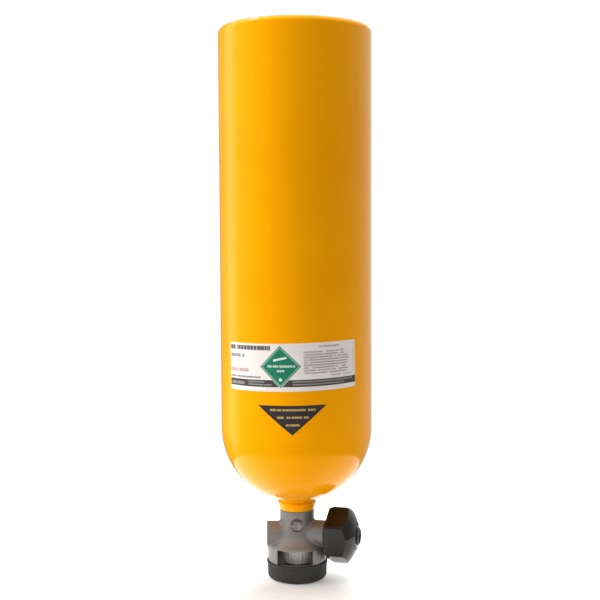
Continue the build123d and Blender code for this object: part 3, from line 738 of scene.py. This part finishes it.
# ---------------------------------------------------------------- handwheel
WHEEL_R, WHEEL_CORNER, WHEEL_S, BEVEL_S, BEVEL_IN = 32.2, 2.5, 37.6, 43.1, 2.0
DOME_S, DOME_R = 71.4, 47.1
RECESS_R, RECESS_S, HUB_R, HUB_S = 19.5, 52.0, 10.5, 39.5
INSERT_R, CAVITY_S, CAVITY_R, CAP_SEAT_S, CAP_HOLE_R = 8.0, 58.0, 8.8, 68.9, 9.75


def hexagon_outline(arc_steps=8, flat_steps=14):
    """Rounded hexagon, corner up, as (x, y)."""
    centre = WHEEL_R - WHEEL_CORNER / math.sin(math.radians(60))
    points = []
    for k in range(6):
        middle = 90 + 60 * k
        cx, cy = (centre * f(math.radians(middle)) for f in (math.cos, math.sin))
        corner = [(cx + WHEEL_CORNER * math.cos(math.radians(middle + t)),
                   cy + WHEEL_CORNER * math.sin(math.radians(middle + t)))
                  for t in (-30 + 60 * i / arc_steps for i in range(arc_steps + 1))]
        if points:
            last = points[-1]
            points += [tuple(last[n] + (corner[0][n] - last[n]) * i / flat_steps for n in (0, 1))
                       for i in range(1, flat_steps)]
        points += corner
    last, first = points[-1], points[0]
    points += [tuple(last[n] + (first[n] - last[n]) * i / flat_steps for n in (0, 1))
               for i in range(1, flat_steps)]
    return points


def build_handwheel():
    """Domed hexagonal knob with a recess round its hub, as rings of points along one outline."""
    outline = hexagon_outline()
    apothem = WHEEL_R * math.cos(math.radians(30))
    centre_s = DOME_S - DOME_R

    def circle(r, s):
        return [(r * x / math.hypot(x, y), r * y / math.hypot(x, y), s) for x, y in outline]

    def hexagon(scale, s):
        return [(x * scale, y * scale, s) for x, y in outline]

    def dome(t):
        """Between the cap's hole at t 0 and the outline at t 1, on the sphere."""
        row = []
        for x, y in outline:
            d = math.hypot(x, y)
            r = CAP_HOLE_R + (d - CAP_HOLE_R) * t
            row.append((x * r / d, y * r / d, centre_s + math.sqrt(DOME_R ** 2 - r ** 2)))
        return row

    def blend(a, b, t):
        return [tuple(p[n] + (q[n] - p[n]) * t for n in range(3)) for p, q in zip(a, b)]

    edge = dome(1.0)
    inner_scale = 1 - BEVEL_IN / apothem
    back = hexagon(inner_scale, WHEEL_S)
    lip = circle(RECESS_R, WHEEL_S)
    rows = [dome(t) for t in (0, 0.1, 0.25, 0.4, 0.55, 0.7, 0.85, 0.95)] + [edge]
    base = hexagon(1.0, BEVEL_S)
    rows += [blend(edge, base, t) for t in (0.1, 0.5, 0.9)] + [base]
    rows += [blend(base, back, 0.5), back]
    rows += [blend(back, lip, t) for t in (0.3, 0.7)] + [lip]
    rows += [circle(RECESS_R, (WHEEL_S + RECESS_S) / 2), circle(RECESS_R, RECESS_S)]
    rows += [circle((RECESS_R + HUB_R) / 2, RECESS_S), circle(HUB_R, RECESS_S)]
    rows += [circle(HUB_R, (RECESS_S + HUB_S) / 2), circle(HUB_R, HUB_S), circle(INSERT_R, HUB_S)]
    rows += [circle(INSERT_R, (HUB_S + CAVITY_S) / 2), circle(INSERT_R, CAVITY_S)]
    rows += [circle(CAVITY_R, CAVITY_S)]
    rows += [circle(CAVITY_R, (CAVITY_S + CAP_SEAT_S) / 2), circle(CAVITY_R, CAP_SEAT_S),
             circle(CAP_HOLE_R, CAP_SEAT_S)]
    n = len(outline)
    vertices = [bonnet_point(*p) for row in rows for p in row]
    faces = []
    for k in range(len(rows)):
        m = (k + 1) % len(rows)
        faces += [(k * n + i, k * n + (i + 1) % n, m * n + (i + 1) % n, m * n + i)
                  for i in range(n)]
    return mesh_object("handwheel_moulding", vertices, faces)


wheel = softened(build_handwheel(), 0.7, 3, 28.0)
finish_piece(wheel, "handwheel", ["handwheel"], wheel_black)


TICKS, TICK_RADIUS, TICK_LENGTH, TICK_WIDTH = 24, 14.3, 2.3, 0.9
TICK_RISE = (-0.3, 0.35)     # foot and top, from the dome's skin
TICK_TAPER = 0.8


def build_ticks():
    """Small raised bars round the cap, on the dome."""
    vertices, faces = [], []
    centre_s = DOME_S - DOME_R
    for k in range(TICKS):
        a = 2 * math.pi * k / TICKS
        start = len(vertices)
        for rise, shrink in zip(TICK_RISE, (1.0, TICK_TAPER)):
            for dr, dw in ((-1, -1), (1, -1), (1, 1), (-1, 1)):
                r = TICK_RADIUS + dr * TICK_LENGTH / 2 * shrink
                w = dw * TICK_WIDTH / 2 * shrink
                x, y = r * math.sin(a) + w * math.cos(a), r * math.cos(a) - w * math.sin(a)
                dome_s = centre_s + math.sqrt(DOME_R ** 2 - x ** 2 - y ** 2)
                vertices.append(bonnet_point(x, y, dome_s + rise))
        faces += [tuple(start + i for i in q) for q in
                  ((0, 1, 2, 3), (7, 6, 5, 4), (0, 4, 5, 1), (1, 5, 6, 2), (2, 6, 7, 3),
                   (3, 7, 4, 0))]
    return mesh_object("handwheel_grip_marks", vertices, faces)


ticks = softened(build_ticks(), 0.12, 2, 30.0)
finish_piece(ticks, "handwheel", [], wheel_black)

# ---------------------------------------------------------------- cap
CAP_R, CAP_EDGE_R, CAP_SKIRT, CAP_SKIRT_T = 9.7, 1.2, 3.5, 1.5
cap_section = [(0, CAP_SEAT_S), (CAVITY_R - CAP_SKIRT_T, CAP_SEAT_S),
               (CAVITY_R - CAP_SKIRT_T, CAP_SEAT_S - CAP_SKIRT),
               (CAVITY_R, CAP_SEAT_S - CAP_SKIRT), (CAVITY_R, CAP_SEAT_S), (CAP_R, CAP_SEAT_S)]
cap_section += arc((CAP_R - CAP_EDGE_R, 71.2), CAP_EDGE_R, 0, 90, 6)
cap_section += [(7.9, 72.3), (7.4, 71.7), (7.0, 70.7), (3.5, 70.5), (0, 70.5)]
cap = lathe("hub_cap_turned", cap_section, 64, about_bonnet)
shade(cap, 35.0)
finish_piece(cap, "handwheel", ["hub_cap"], cap_black)

# ---------------------------------------------------------------- bumper
FOOT_EDGE_R = 4.5            # rounding at the foot
SKIRT_R, SKIRT_Z, BUMPER_TOP_Z, BUMPER_HOLE_R = 30.0, 4.5, 20.0, 23.0
bumper_section = arc((28.8, FOOT_EDGE_R), FOOT_EDGE_R, -90, 0, 8)
bumper_section += [(33.35, 8.0), (33.5, 13.0), (33.55, 15.4)]
# raised lip
bumper_section += arc((34.3, 15.9), 0.75, 180, 120, 3)
bumper_section += arc((33.8, 17.6), 0.6, -60, 0, 4)
bumper_section += arc((33.6, 19.2), 0.8, 0, 90, 6)
# inside, round the drum's skirt and down to the hole in the foot
bumper_section += [(SKIRT_R, BUMPER_TOP_Z), (SKIRT_R, 12.0), (SKIRT_R, SKIRT_Z),
                   (BUMPER_HOLE_R, SKIRT_Z), (BUMPER_HOLE_R, 0.6)]
bumper_section += arc((BUMPER_HOLE_R + 0.6, 0.6), 0.6, 180, 270, 4)
bumper = lathe("gauge_bumper_moulded", bumper_section, 144)
shade(bumper, 50.0)
finish_piece(bumper, "cylinder", ["gauge_bumper"], bumper_black)

# ---------------------------------------------------------------- gauge lens
FLUTES, FLUTE_DEPTH = 22, 0.45
FLUTED = (15.2, 19, 31)      # from this radius out, between these heights
LENS_FACE_Z, LENS_FLANGE_Z, LENS_FLANGE_R = 17.0, (32.0, 33.0), 17.2


def fluted(r, a, z):
    """Section point to space, with upright flutes round the outside of the cup's wall."""
    if r > FLUTED[0] and FLUTED[1] < z < FLUTED[2]:
        r += FLUTE_DEPTH * math.cos(FLUTES * a)
    return upright(r, a, z)


lens_section = [(0, LENS_FACE_Z)] + arc((13.3, LENS_FACE_Z + 1.2), 1.2, -90, 0, 6)
lens_section += [(14.9, 20.6), (15.3, 21.6), (16.4, 30.8), (16.6, LENS_FLANGE_Z[0])]
lens_section += [(LENS_FLANGE_R, LENS_FLANGE_Z[0]), (LENS_FLANGE_R, LENS_FLANGE_Z[1]),
                 (15.1, LENS_FLANGE_Z[1])]
lens_section += arc((12.4, 19.1), 0.6, 0, -90, 4) + [(0, 18.5)]
lens = lathe("gauge_lens_clear", lens_section, 288, fluted)
shade(lens, 30.0)
finish_piece(lens, "cylinder", ["gauge_lens"], glass)

# ---------------------------------------------------------------- CAD nodes that stay
for finish, names in (
        (seal_black, ("neck_o_ring", "stem_o_ring", "bonnet_o_ring", "gauge_stem_o_ring",
                      "lens_gasket")),
        (brass, ("debris_tube", "gauge_stem", "handwheel_insert", "lower_spindle")),
        (copper, ("burst_gasket", "bourdon_coil")),
        (nickel, ("burst_disc",)),
        (dull_steel, ("bonnet_nut", "burst_plug")),
        (steel, ("gauge_case", "handwheel_washer", "handwheel_nut", "upper_stem")),
        (nylon, ("stem_thrust_washer", "seat_insert")),
        (scale_print, ("gauge_dial",)),
        (pointer_paint, ("gauge_pointer",)),
        (glass, ("lens_retaining_ring",))):
    for name in names:
        piece = nodes[name]
        piece.data.materials.clear()
        piece.data.materials.append(finish)
        shade(piece, 30.0)


# ---------------------------------------------------------------- floor, light and camera
GLOW_FORWARD = 0.085         # the dull patch's centre, in metres in front of the axis
GLOW_REACH = (0.045, 0.125)  # metres from that centre where the glow starts and is full
GLOW = 0.75


def build_floor():
    """Pale disc. It glows with painted light, apart from a patch in front of the foot where its
    shadow shows, so it looks near white.
    """
    made, g = material("studio_floor")
    x, y, z = g.xyz(g.coords())
    # painted light: the emission lifts the floor's shade to near white everywhere but round a point
    # in front of the foot
    glow = g.step(g.length(x, g.math("ADD", y, GLOW_FORWARD)), *GLOW_REACH)
    speck = g.noise(g.coords(), 30.0, 3.0)
    colour = g.mix(speck, rgb(0.66, 0.66, 0.655), rgb(0.68, 0.68, 0.675))
    shader = g.surface(Base_Color=colour, Roughness=0.6, Specular_IOR_Level=0.1)
    g.put(shader.inputs["Emission Color"], rgb(1, 0.99, 0.975))
    g.put(shader.inputs["Emission Strength"], g.math("MULTIPLY", glow, GLOW))
    rings = [(0.02 * 1.28 ** i / MM, 0.0) for i in range(12)]
    floor = lathe("studio_floor", [(0, 0.0)] + rings, 96)
    floor.data.materials.append(made)


FRONT_LEVEL, BEHIND_EXTRA, PANEL_LEVEL, TOP_LEVEL, WHITE_LEVEL = 0.60, 0.25, 1.1, 1.0, 1.05
PANEL = (-122.0, -98.0)      # degrees round from the camera's side, towards the left
FAR_LEFT_CUT, LOW_CUT = 0.75, 0.75


def build_world():
    """White to the camera. For light and reflections: even in front, paler behind and overhead,
    fainter below, with a tall bright panel at the left and a darker patch past it."""
    world = bpy.data.worlds.new("studio")
    bpy.context.scene.world = world
    g = Graph(world)
    x, y, z = g.xyz(g.add("TexCoord").outputs["Generated"])
    turn = g.math("ARCTAN2", x, g.math("MULTIPLY", y, -1.0))
    turn = g.math("MULTIPLY", turn, 180 / math.pi)
    behind = g.step(g.math("ABSOLUTE", turn), 95.0, 130.0)
    level = g.math("ADD", FRONT_LEVEL, g.math("MULTIPLY", behind, BEHIND_EXTRA))
    far_left = g.step(turn, -120.0, -135.0)
    kept = g.math("SUBTRACT", 1.0, g.math("MULTIPLY", far_left, FAR_LEFT_CUT))
    level = g.math("MULTIPLY", level, kept)
    panel = g.math("MULTIPLY", g.between(turn, *PANEL, 5.0), PANEL_LEVEL)
    level = g.math("ADD", level, panel)
    kept = g.math("ADD", 1 - LOW_CUT, g.math("MULTIPLY", g.step(z, -0.5, 0.02), LOW_CUT))
    level = g.math("MULTIPLY", level, kept)
    level = g.math("ADD", level, g.math("MULTIPLY", g.step(z, 0.55, 0.85), TOP_LEVEL))
    studio = g.add("Background", inputs={"Color": rgb(1.0, 0.985, 0.96), "Strength": level})
    white = g.add("Background", inputs={"Color": rgb(1, 1, 1), "Strength": WHITE_LEVEL})
    seen = g.add("LightPath").outputs["Is Camera Ray"]
    mix = g.add("MixShader")
    for index, value in enumerate((seen, studio.outputs[0], white.outputs[0])):
        g.put(mix.inputs[index], value)
    out = g.add("OutputWorld")
    g.put(out.inputs[0], mix.outputs[0])


def area_light(name, place, target, size, watts, colour):
    """Rectangular lamp aimed at target. It lights, but neither it nor its reflection shows."""
    lamp = bpy.data.lights.new(name, "AREA")
    lamp.shape = "RECTANGLE"
    lamp.size, lamp.size_y = size
    lamp.energy = watts
    lamp.color = colour
    made = bpy.data.objects.new(name, lamp)
    bpy.context.scene.collection.objects.link(made)
    made.location = place
    made.rotation_mode = "QUATERNION"
    made.rotation_quaternion = (Vector(target) - Vector(place)).to_track_quat("-Z", "Y")
    made.visible_glossy = False
    made.visible_camera = False


build_floor()
build_world()
area_light("key_left", (-1.9, -0.45, 0.75), (0, 0, 0.3), (1.3, 1.6), 40.0, (1.0, 0.98, 0.95))
area_light("overhead", (0.0, 0.2, 2.0), (0, 0, 0), (2.2, 2.2), 22.0, (1, 1, 1))

CAMERA_DISTANCE, CAMERA_HEIGHT, CAMERA_X = 1.1777, 0.3963, 0.0044
CAMERA_PITCH, CAMERA_ROLL = math.radians(4.03), math.radians(-0.26)
SENSOR, LENS = 36.0, 63.55
camera_data = bpy.data.cameras.new("camera")
camera_data.sensor_width = SENSOR
camera_data.lens = LENS
camera_data.clip_start = 0.05
camera_data.clip_end = 50.0
camera = bpy.data.objects.new("camera", camera_data)
bpy.context.scene.collection.objects.link(camera)
camera.location = (CAMERA_X, -CAMERA_DISTANCE, CAMERA_HEIGHT)
camera.rotation_mode = "QUATERNION"
camera.rotation_quaternion = (Matrix.Rotation(math.radians(90) - CAMERA_PITCH, 4, "X")
                              @ Matrix.Rotation(CAMERA_ROLL, 4, "Z")).to_quaternion()
bpy.context.scene.camera = camera
bpy.context.scene.view_settings.view_transform = "Standard"
